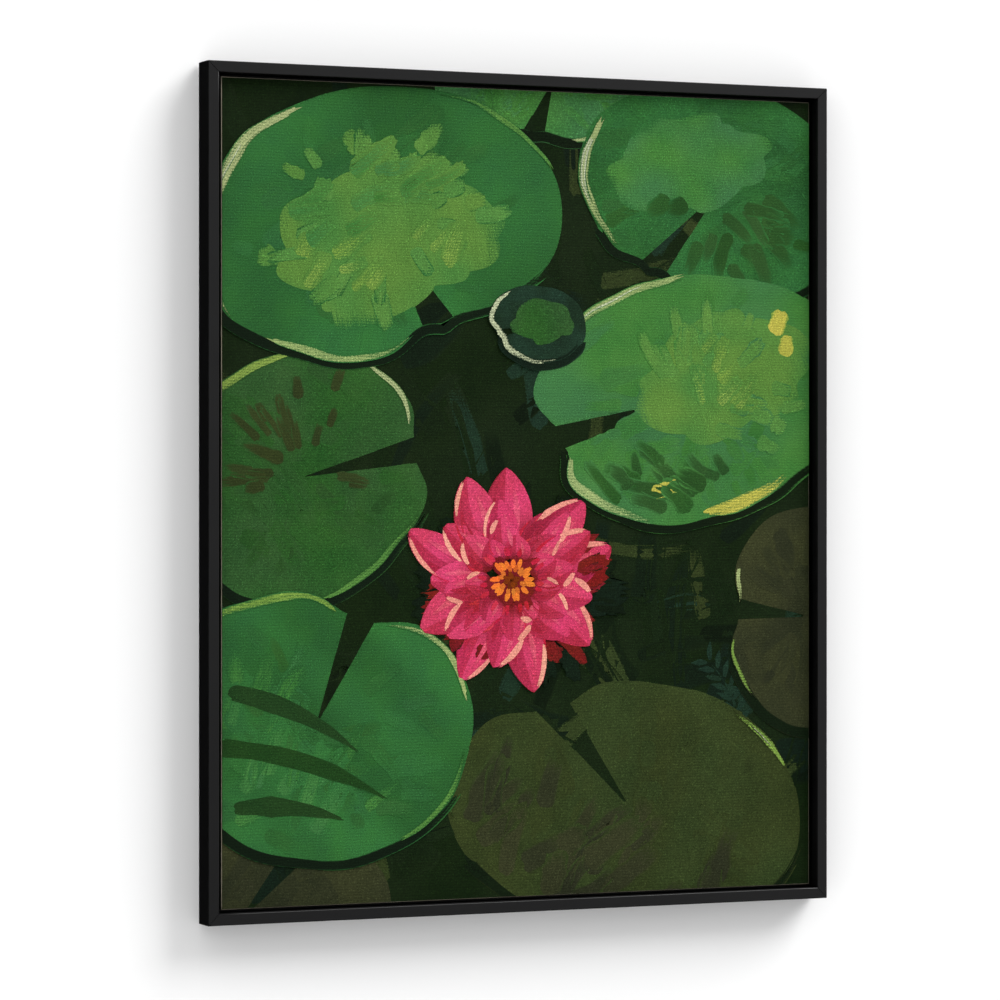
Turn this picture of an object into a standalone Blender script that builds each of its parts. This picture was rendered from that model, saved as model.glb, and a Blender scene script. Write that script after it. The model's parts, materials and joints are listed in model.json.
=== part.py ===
"""A stretched canvas picture in a black wooden floater frame, with the fittings that hang it.

X runs across the picture, Z runs up it, and the picture faces -Y. The origin is the middle of the whole
object, with its wall bumpers. A depth is measured backwards from the front edge of the frame.
"""

import math
from collections import namedtuple

import bmesh
import bpy
from mathutils import Matrix, Vector

# Driving dimensions, in metres
CANVAS_WIDTH = 0.6096  # 24 inches
CANVAS_HEIGHT = 0.762  # 30 inches
CLOTH = 0.0005  # thickness of the primed cotton
CLOTH_RETURN = 0.028  # how far the cloth turns in over the backs of the bars
FIT = 0.0003  # gap between pieces that rest on each other
HOLE_FIT = 0.00025  # gap round a piece in its own hole or slot
ROUND_STEPS = 14  # sides of a turned piece

LIP = 0.0105  # front edge of the frame moulding
SIDE_GAP = 0.0048  # shadow gap left and right of the canvas
END_GAP = 0.003  # shadow gap above and below it
RECESS = 0.008  # the picture's surface lies this far behind the front edge
FRAME_DEPTH = 0.0254
LEDGE = 0.0034  # thickness of the moulding's foot, which carries the canvas
FOOT = 0.030  # width of the moulding at the back
ARRIS = 0.0005  # chamfer of the moulding's front edges
PAD_HEIGHT = 0.0019
WALL_STANDOFF = FIT + PAD_HEIGHT

BAR_WIDTH = 0.035
BEAD = 0.005  # flat rim of a bar that the cloth bears on
BEVEL_DROP = 0.002  # the bar's front falls away from the cloth by this much

BRACE_WIDTH = 0.030
BRACE_DEPTH = 0.009
TENON_WIDTH = 0.014
TENON_DEPTH = 0.004
TENON_LENGTH = 0.010

KEY_THICKNESS = 0.0024
KEY_OUTLINE = [(-0.0035, 0.0045), (0.024, 0.0065), (0.024, -0.0065), (0.0014, -0.0006)]

STAPLE_CROWN = 0.0102
STAPLE_WIRE = 0.0006
STAPLE_BREADTH = 0.0012
STAPLE_LEG = 0.0064
STAPLE_INSET = 0.0205  # from the edge of the bars
STAPLE_PITCH = 0.122

NAIL_V_LEG = 0.0058
NAIL_V_SHEET = 0.0005
NAIL_V_DEPTH = 0.008
NAIL_V_INSET = 0.0035

SCREW_INSET = 0.0235  # from the outside of the frame
SCREW_FROM_MIDDLE = {"top": 0.1, "bottom": 0.1, "left": 0.22, "right": 0.22}
SCREW_HEAD_RADIUS = 0.0034
SCREW_HEAD_HEIGHT = 0.002
SCREW_RADIUS = 0.0015
SCREW_LENGTH = 0.012
SUNK = 0.0002  # flush fastenings lie this far below the surface

HANGER_FROM_MIDDLE = 0.2032  # two hooks 16 inches apart
HANGER_INSET = 0.0065
HANGER_LENGTH = 0.060
HANGER_WIDTH = 0.011
HANGER_SHEET = 0.0007
HANGER_RISE = 0.0009  # its middle stands off the wood, to clear a hook
TOOTH_PITCH = 0.004
TEETH = 7
TACK_FROM_MIDDLE = 0.0255
TACK_RADIUS = 0.0007
TACK_HEAD_RADIUS = 0.0016
TACK_HEAD = 0.0005
TACK_LENGTH = 0.010

PAD_RADIUS = 0.005
PAD_INSET = 0.015
PAD_FROM_CORNER = 0.030

# Sizes that follow from them
FRAME_WIDTH = CANVAS_WIDTH + 2 * (SIDE_GAP + LIP)
FRAME_HEIGHT = CANVAS_HEIGHT + 2 * (END_GAP + LIP)
BARS_WIDTH = CANVAS_WIDTH - 2 * (CLOTH + FIT)
BARS_HEIGHT = CANVAS_HEIGHT - 2 * (CLOTH + FIT)
BAR_FRONT = RECESS + CLOTH + FIT
RETURN_BACK = FRAME_DEPTH - LEDGE - FIT
BAR_BACK = RETURN_BACK - CLOTH - FIT
FRONT_Y = -(FRAME_DEPTH + WALL_STANDOFF) / 2

# Stands a flat outline up, so that what was drawn as (x, y) lies at (x, z)
UPRIGHT = Matrix.Rotation(math.pi / 2, 4, "X")

# A side's pieces are drawn as for the top edge and then turned about Y
TURN = {"top": 0.0, "right": math.pi / 2, "bottom": math.pi, "left": -math.pi / 2}
FRAME_PIECE = {
    "top": "frame_rail_top",
    "right": "frame_stile_right",
    "bottom": "frame_rail_bottom",
    "left": "frame_stile_left",
}

Finish = namedtuple("Finish", "colour roughness metallic")
FINISHES = {
    "frame": Finish((0.022, 0.022, 0.023), 0.42, 0.0),
    "canvas": Finish((0.05, 0.14, 0.045), 0.7, 0.0),
    "pine": Finish((0.62, 0.43, 0.24), 0.65, 0.0),
    "beech": Finish((0.55, 0.36, 0.2), 0.6, 0.0),
    "steel": Finish((0.55, 0.55, 0.55), 0.35, 1.0),
    "rubber": Finish((0.03, 0.03, 0.03), 0.8, 0.0),
}


def clear_scene():
    for item in list(bpy.data.objects):
        bpy.data.objects.remove(item)


def new_collection(name):
    collection = bpy.data.collections.new(name)
    bpy.context.scene.collection.children.link(collection)
    return collection


def new_material(name, finish):
    material = bpy.data.materials.new(name)
    material.use_nodes = True
    shader = material.node_tree.nodes["Principled BSDF"]
    shader.inputs["Base Color"].default_value = (*finish.colour, 1.0)
    shader.inputs["Roughness"].default_value = finish.roughness
    shader.inputs["Metallic"].default_value = finish.metallic
    return material


def half_extent(side, width, height):
    """How far a side of a width x height rectangle lies from its middle."""
    return (height if side in ("top", "bottom") else width) / 2


def half_length(side, width, height):
    return (width if side in ("top", "bottom") else height) / 2


def tidy_mesh(mesh):
    """Welds the doubled points of a filled curve and turns every face outwards."""
    work = bmesh.new()
    work.from_mesh(mesh)
    bmesh.ops.remove_doubles(work, verts=work.verts, dist=1e-6)
    bmesh.ops.recalc_face_normals(work, faces=work.faces)
    work.to_mesh(mesh)
    work.free()


def prism(name, outline, thickness):
    """A flat outline in the XY plane, given its thickness evenly to both sides along Z."""
    curve = bpy.data.curves.new(name, "CURVE")
    curve.dimensions = "2D"
    curve.fill_mode = "BOTH"
    curve.extrude = thickness / 2
    spline = curve.splines.new("POLY")
    spline.points.add(len(outline) - 1)
    for point, (x, y) in zip(spline.points, outline):
        point.co = (x, y, 0, 1)
    spline.use_cyclic_u = True
    guide = bpy.data.objects.new(name, curve)
    bpy.context.scene.collection.objects.link(guide)
    depsgraph = bpy.context.evaluated_depsgraph_get()
    mesh = bpy.data.meshes.new_from_object(guide.evaluated_get(depsgraph))
    mesh.name = name
    bpy.data.objects.remove(guide)
    bpy.data.curves.remove(curve)
    mesh.materials.clear()
    tidy_mesh(mesh)
    return mesh


def box(name, low, high):
    """A box between two opposite corners."""
    mesh = bpy.data.meshes.new(name)
    low, high = Vector(low), Vector(high)
    work = bmesh.new()
    bmesh.ops.create_cube(work, size=1.0)
    bmesh.ops.scale(work, vec=high - low, verts=work.verts)
    bmesh.ops.translate(work, vec=(low + high) / 2, verts=work.verts)
    work.to_mesh(mesh)
    work.free()
    return mesh


def grown(outline, gap):
    """The outline with every edge moved outwards by gap."""
    points = [Vector(point) for point in outline]
    count = len(points)
    area = sum(a.x * b.y - a.y * b.x for a, b in zip(points, points[1:] + points[:1]))
    outward = math.copysign(1.0, area)
    moved = []
    for i, point in enumerate(points):
        before = (point - points[i - 1]).normalized()
        after = (points[(i + 1) % count] - point).normalized()
        normals = [Vector((d.y, -d.x)) * outward for d in (before, after)]
        middle = normals[0] + normals[1]
        moved.append(point + middle * (2 * gap / middle.length_squared))
    return [tuple(point) for point in moved]


def finished(name, mesh, finish):
    """A named part of the picture, in the colour and gloss of its material."""
    part = bpy.data.objects.new(name, mesh)
    parts.objects.link(part)
    part.parent = root
    part.data.materials.append(new_material(name, FINISHES[finish]))
    return part


def cutter(name, mesh, *collections):
    tool = bpy.data.objects.new(name, mesh)
    for collection in collections:
        collection.objects.link(tool)
    tool.hide_render = True
    tool.display_type = "WIRE"
    return tool


def cut(part, collection):
    boolean = part.modifiers.new("cut", "BOOLEAN")
    boolean.operation = "DIFFERENCE"
    boolean.operand_type = "COLLECTION"
    boolean.collection = collection


def place(part, side, extent, along=0.0):
    """Turns a piece drawn for the top edge to its side, extent away from the middle."""
    turn = Matrix.Rotation(TURN[side], 4, "Y")
    part.location = turn @ Vector((along, FRONT_Y, extent))
    part.rotation_euler = (0.0, TURN[side], 0.0)


def mitred(name, outline, length):
    """A moulding with mitred ends: the outline holds (inset from the outer edge, depth)."""
    mesh = prism(name, outline, length - 2 * FIT * math.sqrt(0.5))
    mesh.transform(Matrix.Rotation(math.pi / 2, 4, "Y"))
    for vertex in mesh.vertices:
        inset = -vertex.co.z
        vertex.co.x -= math.copysign(inset, vertex.co.x)
    return mesh


def turned(part):
    """Spins a half outline, drawn at +X from its top down, about Z."""
    screw = part.modifiers.new("turn", "SCREW")
    screw.steps = ROUND_STEPS
    screw.render_steps = ROUND_STEPS
    screw.use_merge_vertices = True
    screw.merge_threshold = 1e-5
    return part


def half_outline(name, points):
    """A chain of (radius, height) points for turned()."""
    mesh = bpy.data.meshes.new(name)
    work = bmesh.new()
    chain = [work.verts.new((radius, 0.0, height)) for radius, height in points]
    for a, b in zip(chain, chain[1:]):
        work.edges.new((a, b))
    work.to_mesh(mesh)
    work.free()
    return mesh


def frame_pieces():
    """Four lengths of L-shaped moulding: a deep lip outside, and a thin foot that turns in at the back."""
    outline = [
        (0.0, ARRIS),
        (ARRIS, 0.0),
        (LIP - ARRIS, 0.0),
        (LIP, ARRIS),
        (LIP, FRAME_DEPTH - LEDGE),
        (FOOT, FRAME_DEPTH - LEDGE),
        (FOOT, FRAME_DEPTH),
        (0.0, FRAME_DEPTH),
    ]
    for side, name in FRAME_PIECE.items():
        length = 2 * half_length(side, FRAME_WIDTH, FRAME_HEIGHT)
        piece = finished(name, mitred(name, outline, length), "frame")
        place(piece, side, half_extent(side, FRAME_WIDTH, FRAME_HEIGHT))
        cut(piece, frame_cutters)


def stretcher_bars():
    """Four mitred bars whose fronts fall away from the cloth, so that only a rim touches it."""
    outline = [
        (0.0, BAR_FRONT),
        (BEAD, BAR_FRONT),
        (BEAD + BEVEL_DROP, BAR_FRONT + BEVEL_DROP / 2),
        (BAR_WIDTH, BAR_FRONT + BEVEL_DROP),
        (BAR_WIDTH, BAR_BACK),
        (0.0, BAR_BACK),
    ]
    for side in TURN:
        name = f"stretcher_bar_{side}"
        length = 2 * half_length(side, BARS_WIDTH, BARS_HEIGHT)
        bar = finished(name, mitred(name, outline, length), "pine")
        place(bar, side, half_extent(side, BARS_WIDTH, BARS_HEIGHT))
        cut(bar, bar_cutters)


def cross_brace():
    """A flat batten across the middle of the bars, with a tenon on each end."""
    reach = BARS_WIDTH / 2 - BAR_WIDTH - FIT
    tenon = TENON_WIDTH / 2
    outline = [
        (-reach, BRACE_WIDTH / 2),
        (-reach, tenon),
        (-reach - TENON_LENGTH, tenon),
        (-reach - TENON_LENGTH, -tenon),
        (-reach, -tenon),
        (-reach, -BRACE_WIDTH / 2),
        (reach, -BRACE_WIDTH / 2),
        (reach, -tenon),
        (reach + TENON_LENGTH, -tenon),
        (reach + TENON_LENGTH, tenon),
        (reach, tenon),
        (reach, BRACE_WIDTH / 2),
    ]
    mesh = prism("cross_brace", outline, BRACE_DEPTH)
    mesh.transform(UPRIGHT)
    brace = finished("cross_brace", mesh, "pine")
    brace.location.y = FRONT_Y + BAR_BACK - BRACE_DEPTH / 2

    # The tenons are thinner than the batten: a block in front of and behind each one is cut away
    cheek = (BRACE_DEPTH - TENON_DEPTH) / 2
    for sign, end in ((-1, "left"), (1, "right")):
        shoulder = sign * reach
        tip = sign * (reach + TENON_LENGTH)
        beyond = tip + sign * FIT
        for face, y in (("front", -BRACE_DEPTH / 2), ("back", BRACE_DEPTH / 2)):
            inner = y - math.copysign(cheek, y)
            outer = y + math.copysign(FIT, y)
            low = (min(shoulder, beyond), min(inner, outer), -BRACE_WIDTH)
            high = (max(shoulder, beyond), max(inner, outer), BRACE_WIDTH)
            tool = cutter(f"tenon_cheek_{end}_{face}", box("cheek", low, high), brace_cutters)
            tool.location = brace.location
        low = (min(shoulder, beyond) - FIT, -TENON_DEPTH / 2 - HOLE_FIT, -tenon - HOLE_FIT)
        high = (max(shoulder, beyond) + FIT, TENON_DEPTH / 2 + HOLE_FIT, tenon + HOLE_FIT)
        tool = cutter(f"mortise_{end}", box("mortise", low, high), bar_cutters)
        tool.location = brace.location
    cut(brace, brace_cutters)


def canvas():
    """The cloth: a shallow tray over the bars, turned in behind them and open in the middle."""
    half_width = CANVAS_WIDTH / 2
    half_height = CANVAS_HEIGHT / 2
    low = (-half_width, RECESS, -half_height)
    high = (half_width, RETURN_BACK, half_height)
    cloth = finished("canvas", box("canvas", low, high), "canvas")
    cloth.location.y = FRONT_Y

    inner_width = half_width - CLOTH
    inner_height = half_height - CLOTH
    low = (-inner_width, RECESS + CLOTH, -inner_height)
    high = (inner_width, RETURN_BACK - CLOTH, inner_height)
    cutter("canvas_inside", box("inside", low, high), canvas_cutters).location.y = FRONT_Y
    window_width = half_width - CLOTH_RETURN
    window_height = half_height - CLOTH_RETURN
    low = (-window_width, RETURN_BACK - CLOTH - FIT, -window_height)
    high = (window_width, RETURN_BACK + FIT, window_height)
    cutter("canvas_window", box("window", low, high), canvas_cutters).location.y = FRONT_Y
    cut(cloth, canvas_cutters)


def corner_keys():
    """A thin wedge each side of every corner, driven into a slot to spread the bars."""
    depth = (BAR_FRONT + BEVEL_DROP + BAR_BACK) / 2
    for side in TURN:
        corner = half_length(side, BARS_WIDTH, BARS_HEIGHT) - BAR_WIDTH
        extent = half_extent(side, BARS_WIDTH, BARS_HEIGHT) - BAR_WIDTH
        for end, sign in (("a", -1), ("b", 1)):
            name = f"corner_key_{side}_{end}"
            outline = [(sign * (corner - u), v) for u, v in KEY_OUTLINE]
            mesh = prism(name, outline, KEY_THICKNESS)
            mesh.transform(UPRIGHT)
            key = finished(name, mesh, "beech")
            slot = prism(f"{name}_slot", grown(outline, HOLE_FIT), KEY_THICKNESS + 2 * HOLE_FIT)
            slot.transform(UPRIGHT)
            tool = cutter(f"{name}_slot", slot, bar_cutters)
            for item in (key, tool):
                place(item, side, extent)
                item.location.y += depth


def staples():
    """A row of staples along each side, through the turned-in cloth and into the bar."""
    crown_back = RETURN_BACK + FIT + STAPLE_WIRE
    crown_front = crown_back - STAPLE_WIRE
    tip = crown_back - STAPLE_LEG
    outer = STAPLE_CROWN / 2
    inner = outer - STAPLE_WIRE
    outline = [
        (-outer, crown_back),
        (-outer, tip),
        (-inner, tip),
        (-inner, crown_front),
        (inner, crown_front),
        (inner, tip),
        (outer, tip),
        (outer, crown_back),
    ]
    hole = grown(outline, HOLE_FIT)
    for side in TURN:
        extent = half_extent(side, BARS_WIDTH, BARS_HEIGHT) - STAPLE_INSET
        straight = half_length(side, BARS_WIDTH, BARS_HEIGHT) - BAR_WIDTH
        count = int(2 * straight / STAPLE_PITCH)
        for i in range(count):
            name = f"staple_{side}_{i + 1}"
            staple = finished(name, prism(name, outline, STAPLE_BREADTH), "steel")
            thickness = STAPLE_BREADTH + 2 * HOLE_FIT
            slot = prism(f"{name}_holes", hole, thickness)
            tool = cutter(f"{name}_holes", slot, bar_cutters, canvas_cutters)
            for item in (staple, tool):
                place(item, side, extent, (i - (count - 1) / 2) * STAPLE_PITCH)


def joint_nails():
    """A V-shaped nail pressed in from the back across each mitre of the frame."""
    near = NAIL_V_INSET - NAIL_V_SHEET / 2
    web = NAIL_V_INSET + NAIL_V_SHEET / 2
    far = NAIL_V_INSET + NAIL_V_LEG
    outline = [(near, near), (far, near), (far, web), (web, web), (web, far), (near, far)]
    middle = FRAME_DEPTH - SUNK - NAIL_V_DEPTH / 2
    for vertical, up in (("top", 1), ("bottom", -1)):
        for across, right in (("left", -1), ("right", 1)):
            name = f"joint_nail_{vertical}_{across}"
            corner_x = right * FRAME_WIDTH / 2
            corner_z = up * FRAME_HEIGHT / 2
            at_corner = [(corner_x - right * a, corner_z - up * b) for a, b in outline]
            mesh = prism(name, at_corner, NAIL_V_DEPTH)
            mesh.transform(UPRIGHT)
            nail = finished(name, mesh, "steel")
            slot = prism(f"{name}_slot", grown(at_corner, HOLE_FIT), NAIL_V_DEPTH + 4 * HOLE_FIT)
            slot.transform(UPRIGHT)
            tool = cutter(f"{name}_slot", slot, frame_cutters)
            for item in (nail, tool):
                item.location.y = FRONT_Y + middle


def screw_outline():
    """A countersunk screw's half outline, with its flat head's top at zero."""
    return [
        (0.0, 0.0),
        (SCREW_HEAD_RADIUS, 0.0),
        (SCREW_RADIUS, -SCREW_HEAD_HEIGHT),
        (SCREW_RADIUS, -SCREW_LENGTH + SCREW_RADIUS),
        (0.0, -SCREW_LENGTH),
    ]


def screw_hole_outline():
    """The screw's clearance hole, which runs out past the surface."""
    mouth = SCREW_HEAD_RADIUS + HOLE_FIT
    shank = SCREW_RADIUS + HOLE_FIT
    return [
        (0.0, 2 * SUNK),
        (mouth, 2 * SUNK),
        (mouth, -HOLE_FIT),
        (shank, -SCREW_HEAD_HEIGHT - HOLE_FIT),
        (shank, -SCREW_LENGTH + SCREW_RADIUS - HOLE_FIT),
        (0.0, -SCREW_LENGTH - HOLE_FIT),
    ]


def fasten(part, side, extent, along, depth):
    """Drives a turned piece in from the back: its own +Z becomes the way out."""
    place(part, side, extent, along)
    part.location.y += depth
    outwards = Matrix.Rotation(TURN[side], 4, "Y") @ Matrix.Rotation(-math.pi / 2, 4, "X")
    part.rotation_euler = outwards.to_euler()


def screws():
    """Screws through the frame's foot and into the bars, two to a side."""
    holes = (frame_cutters, bar_cutters, canvas_cutters)
    for side, from_middle in SCREW_FROM_MIDDLE.items():
        extent = half_extent(side, FRAME_WIDTH, FRAME_HEIGHT) - SCREW_INSET
        for end, sign in (("a", -1), ("b", 1)):
            name = f"screw_{side}_{end}"
            screw = turned(finished(name, half_outline(name, screw_outline()), "steel"))
            hole = turned(cutter(f"{name}_hole", half_outline(name, screw_hole_outline()), *holes))
            for item in (screw, hole):
                fasten(item, side, extent, sign * from_middle, FRAME_DEPTH - SUNK)


def hangers():
    """Two toothed steel strips on the back of the top rail, each held by two tacks."""
    near = FRAME_DEPTH + FIT
    half = HANGER_LENGTH / 2
    teeth_half = (TEETH * TOOTH_PITCH) / 2
    raised = teeth_half + TOOTH_PITCH / 2
    foot = raised + 2 * HANGER_RISE
    front = [
        (-half, near),
        (-foot, near),
        (-raised, near + HANGER_RISE),
        (raised, near + HANGER_RISE),
        (foot, near),
        (half, near),
    ]
    back = [(x, y + HANGER_SHEET) for x, y in reversed(front)]
    comb = [(-teeth_half, -TOOTH_PITCH)]
    for i in range(TEETH):
        left = -teeth_half + i * TOOTH_PITCH
        comb.append((left, 0.0))
        comb.append((left + TOOTH_PITCH / 2, TOOTH_PITCH / 2))
    comb.append((teeth_half, 0.0))
    comb.append((teeth_half, -TOOTH_PITCH))
    extent = FRAME_HEIGHT / 2 - HANGER_INSET
    for across, sign in (("left", -1), ("right", 1)):
        middle = sign * HANGER_FROM_MIDDLE
        name = f"sawtooth_hanger_{across}"
        hanger = finished(name, prism(name, front + back, HANGER_WIDTH), "steel")
        place(hanger, "top", extent, middle)
        teeth = prism(f"{name}_teeth", comb, 4 * HANGER_RISE)
        teeth.transform(UPRIGHT)
        tool = cutter(f"{name}_teeth", teeth, hanger_cutters)
        place(tool, "top", extent - HANGER_WIDTH / 2, middle)
        tool.location.y += near + HANGER_RISE
        cut(hanger, hanger_cutters)
        for end, way in (("a", -1), ("b", 1)):
            tack_name = f"hanger_tack_{across}_{end}"
            outline = [
                (0.0, TACK_HEAD),
                (TACK_HEAD_RADIUS, TACK_HEAD),
                (TACK_HEAD_RADIUS, 0.0),
                (TACK_RADIUS, 0.0),
                (TACK_RADIUS, -TACK_LENGTH),
                (0.0, -TACK_LENGTH - TACK_RADIUS),
            ]
            bore = TACK_RADIUS + HOLE_FIT
            hole_outline = [
                (0.0, 0.0),
                (bore, 0.0),
                (bore, -TACK_LENGTH - HOLE_FIT),
                (0.0, -TACK_LENGTH - TACK_RADIUS - HOLE_FIT),
            ]
            tack = turned(finished(tack_name, half_outline(tack_name, outline), "steel"))
            hole = turned(
                cutter(
                    f"{tack_name}_hole",
                    half_outline(tack_name, hole_outline),
                    hanger_cutters,
                    frame_cutters,
                )
            )
            for item in (tack, hole):
                along = middle + way * TACK_FROM_MIDDLE
                fasten(item, "top", extent, along, near + HANGER_SHEET + FIT)


def wall_bumpers():
    """A soft round pad at each lower corner, which holds the frame off the wall."""
    outline = [
        (0.0, PAD_HEIGHT),
        (PAD_RADIUS * 0.7, PAD_HEIGHT),
        (PAD_RADIUS * 0.94, PAD_HEIGHT * 0.7),
        (PAD_RADIUS, 0.0),
        (0.0, 0.0),
    ]
    extent = FRAME_HEIGHT / 2 - PAD_INSET
    # The bottom edge is drawn upside down, so its own left is the picture's right
    for across, sign in (("left", 1), ("right", -1)):
        name = f"wall_bumper_{across}"
        bumper = turned(finished(name, half_outline(name, outline), "rubber"))
        along = sign * (FRAME_WIDTH / 2 - PAD_FROM_CORNER)
        fasten(bumper, "bottom", extent, along, FRAME_DEPTH + FIT)


clear_scene()
parts = new_collection("framed_canvas_print")
frame_cutters = new_collection("frame_cutters")
bar_cutters = new_collection("bar_cutters")
brace_cutters = new_collection("brace_cutters")
canvas_cutters = new_collection("canvas_cutters")
hanger_cutters = new_collection("hanger_cutters")
root = bpy.data.objects.new("picture", None)
parts.objects.link(root)

frame_pieces()
stretcher_bars()
cross_brace()
canvas()
corner_keys()
staples()
joint_nails()
screws()
hangers()
wall_bumpers()
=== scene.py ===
# %% [markdown]
# # A canvas picture in a floater frame
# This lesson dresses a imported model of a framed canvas: a cotton cloth stretched on pine bars and held,
# with a dark gap all round, in an L-shaped moulding of black wood. Each cell below makes one piece or one
# finish. Everything is in metres: X runs across the picture, Z runs up it, and the picture faces -Y.

import json
import math
from contextlib import contextmanager
from functools import partial

import bmesh
import bpy
import numpy as np
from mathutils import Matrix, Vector

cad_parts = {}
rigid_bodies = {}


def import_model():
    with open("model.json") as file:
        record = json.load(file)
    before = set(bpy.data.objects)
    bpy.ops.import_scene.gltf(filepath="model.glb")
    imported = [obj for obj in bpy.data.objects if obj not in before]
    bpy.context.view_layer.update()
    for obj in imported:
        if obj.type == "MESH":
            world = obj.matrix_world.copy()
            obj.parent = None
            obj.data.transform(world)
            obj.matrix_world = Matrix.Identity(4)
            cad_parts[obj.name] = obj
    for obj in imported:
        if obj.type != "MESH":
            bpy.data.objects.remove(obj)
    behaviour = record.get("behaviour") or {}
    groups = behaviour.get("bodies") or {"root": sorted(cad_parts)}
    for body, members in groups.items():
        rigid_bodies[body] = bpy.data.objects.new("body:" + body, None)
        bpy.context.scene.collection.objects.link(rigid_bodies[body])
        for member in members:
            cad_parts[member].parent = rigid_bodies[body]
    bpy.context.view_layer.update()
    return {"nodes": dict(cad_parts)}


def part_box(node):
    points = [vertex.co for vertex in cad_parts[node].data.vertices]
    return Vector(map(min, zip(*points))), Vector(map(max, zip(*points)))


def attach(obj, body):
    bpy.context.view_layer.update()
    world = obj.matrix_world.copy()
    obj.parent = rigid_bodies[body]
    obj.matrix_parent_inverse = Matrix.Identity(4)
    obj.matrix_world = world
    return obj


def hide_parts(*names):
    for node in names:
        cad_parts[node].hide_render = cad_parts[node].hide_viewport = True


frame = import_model()
print("nodes:", len(frame["nodes"]))

# %% [markdown]
# ## Sizes
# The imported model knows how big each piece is, so every size here is read from it, and only small things
# that it leaves out, such as a rounded edge, get a number of their own.

# %% Sizes read from the model
MM = 0.001
RAILS = {
    "top": "frame_rail_top",
    "right": "frame_stile_right",
    "bottom": "frame_rail_bottom",
    "left": "frame_stile_left",
}
GROOVE = 0.35 * MM  # how far the joint between two mitred pieces is eased
FIT = 0.3 * MM  # gap between pieces that rest on each other
END_GAP = 3.0 * MM  # shadow gap above and below the canvas
HAIRLINE = 0.02 * MM  # gap between two mitred pieces
canvas_low, canvas_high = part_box("canvas")
frame_low = Vector((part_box(RAILS["left"])[0].x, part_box(RAILS["top"])[0].y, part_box(RAILS["bottom"])[0].z))
frame_high = Vector((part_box(RAILS["right"])[1].x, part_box(RAILS["top"])[1].y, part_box(RAILS["top"])[1].z))
HALF_WIDTH = canvas_high.x
HALF_HEIGHT = canvas_high.z
print("canvas:", round(2 * HALF_WIDTH, 4), "x", round(2 * HALF_HEIGHT, 4), "m")

# %% [markdown]
# ## Helpers
# A colour picker gives sRGB hex values, but Blender's materials work in linear light, so one function turns
# the first into the second. Another adds a node to a material with its settings and its links. The rest make
# a mesh from a grid of points, which is how most of the pieces here are drawn: a surface is a function of
# two parameters, worked out as whole arrays.

# %% Colour, node and grid helpers
def linear(hex_colour):
    """An sRGB hex colour as linear red, green, blue and alpha."""
    srgb = np.array([int(hex_colour[i : i + 2], 16) for i in (1, 3, 5)]) / 255
    rgb = np.where(srgb <= 0.04045, srgb / 12.92, ((srgb + 0.055) / 1.055) ** 2.4)
    return np.append(rgb, 1.0)


def link(source, node, key):
    """Links an output socket, or a node's first output in use, to one of a node's inputs."""
    if isinstance(source, bpy.types.Node):
        source = next(output for output in source.outputs if output.enabled)
    node.id_data.links.new(source, node.inputs[key])


def add(owner, kind, inputs=None, **settings):
    """Adds a node to a material or a world. An input is given a value, or what is to be linked to it."""
    node = owner.node_tree.nodes.new("ShaderNode" + kind)
    for key, value in settings.items():
        setattr(node, key, value)
    for key, value in (inputs or {}).items():
        if isinstance(value, (bpy.types.NodeSocket, bpy.types.Node)):
            link(value, node, key)
        else:
            node.inputs[key].default_value = value
    return node


def new_material(name, **sockets):
    """A material, its Principled shader with constant values on its own sockets, and add() for it."""
    material = bpy.data.materials.new(name)
    material.use_nodes = True
    shader = material.node_tree.nodes["Principled BSDF"]
    for key, value in sockets.items():
        shader.inputs[key.replace("_", " ")].default_value = value
    return material, shader, partial(add, material)


def grid_quads(rows, columns, first=0):
    """The corners of each cell of a grid of points that is stored row by row."""
    corner = first + np.arange(rows - 1)[:, None] * columns + np.arange(columns - 1)[None, :]
    return np.stack([corner, corner + 1, corner + columns + 1, corner + columns], axis=-1).reshape(-1, 4)


def mesh_of(name, points, quads):
    """A smooth mesh from an array of points and an array of four-cornered faces."""
    mesh = bpy.data.meshes.new(name)
    mesh.vertices.add(len(points))
    mesh.vertices.foreach_set("co", np.asarray(points, np.float32).ravel())
    mesh.loops.add(quads.size)
    mesh.loops.foreach_set("vertex_index", quads.astype(np.int32).ravel())
    mesh.polygons.add(len(quads))
    mesh.polygons.foreach_set("loop_start", np.arange(0, quads.size, 4, dtype=np.int32))
    mesh.polygons.foreach_set("use_smooth", np.ones(len(quads), bool))
    mesh.update(calc_edges=True)
    return mesh


@contextmanager
def edited(mesh):
    """Opens a mesh for editing and writes it back."""
    work = bmesh.new()
    work.from_mesh(mesh)
    yield work
    work.to_mesh(mesh)
    work.free()


def points_of(mesh):
    """The place of each vertex."""
    places = np.empty(len(mesh.vertices) * 3)
    mesh.vertices.foreach_get("co", places)
    return places.reshape(-1, 3)


def map_of(mesh, name, flat_map):
    """A UV map from one pair of values for each vertex."""
    corner = np.empty(len(mesh.loops), np.int32)
    mesh.loops.foreach_get("vertex_index", corner)
    layer = mesh.uv_layers.new(name=name)
    layer.uv.foreach_set("vector", flat_map[corner].astype(np.float32).ravel())


def piece(name, mesh, material, slot, *replaced):
    """Links a finished piece and hides the CAD nodes it stands for. The slot argument is not used."""
    item = bpy.data.objects.new(name, mesh)
    bpy.context.scene.collection.objects.link(item)
    mesh.materials.append(material)
    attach(item, "root")
    if replaced:
        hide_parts(*replaced)
    print(f"{name}: {len(mesh.polygons)} faces")
    return item
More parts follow.
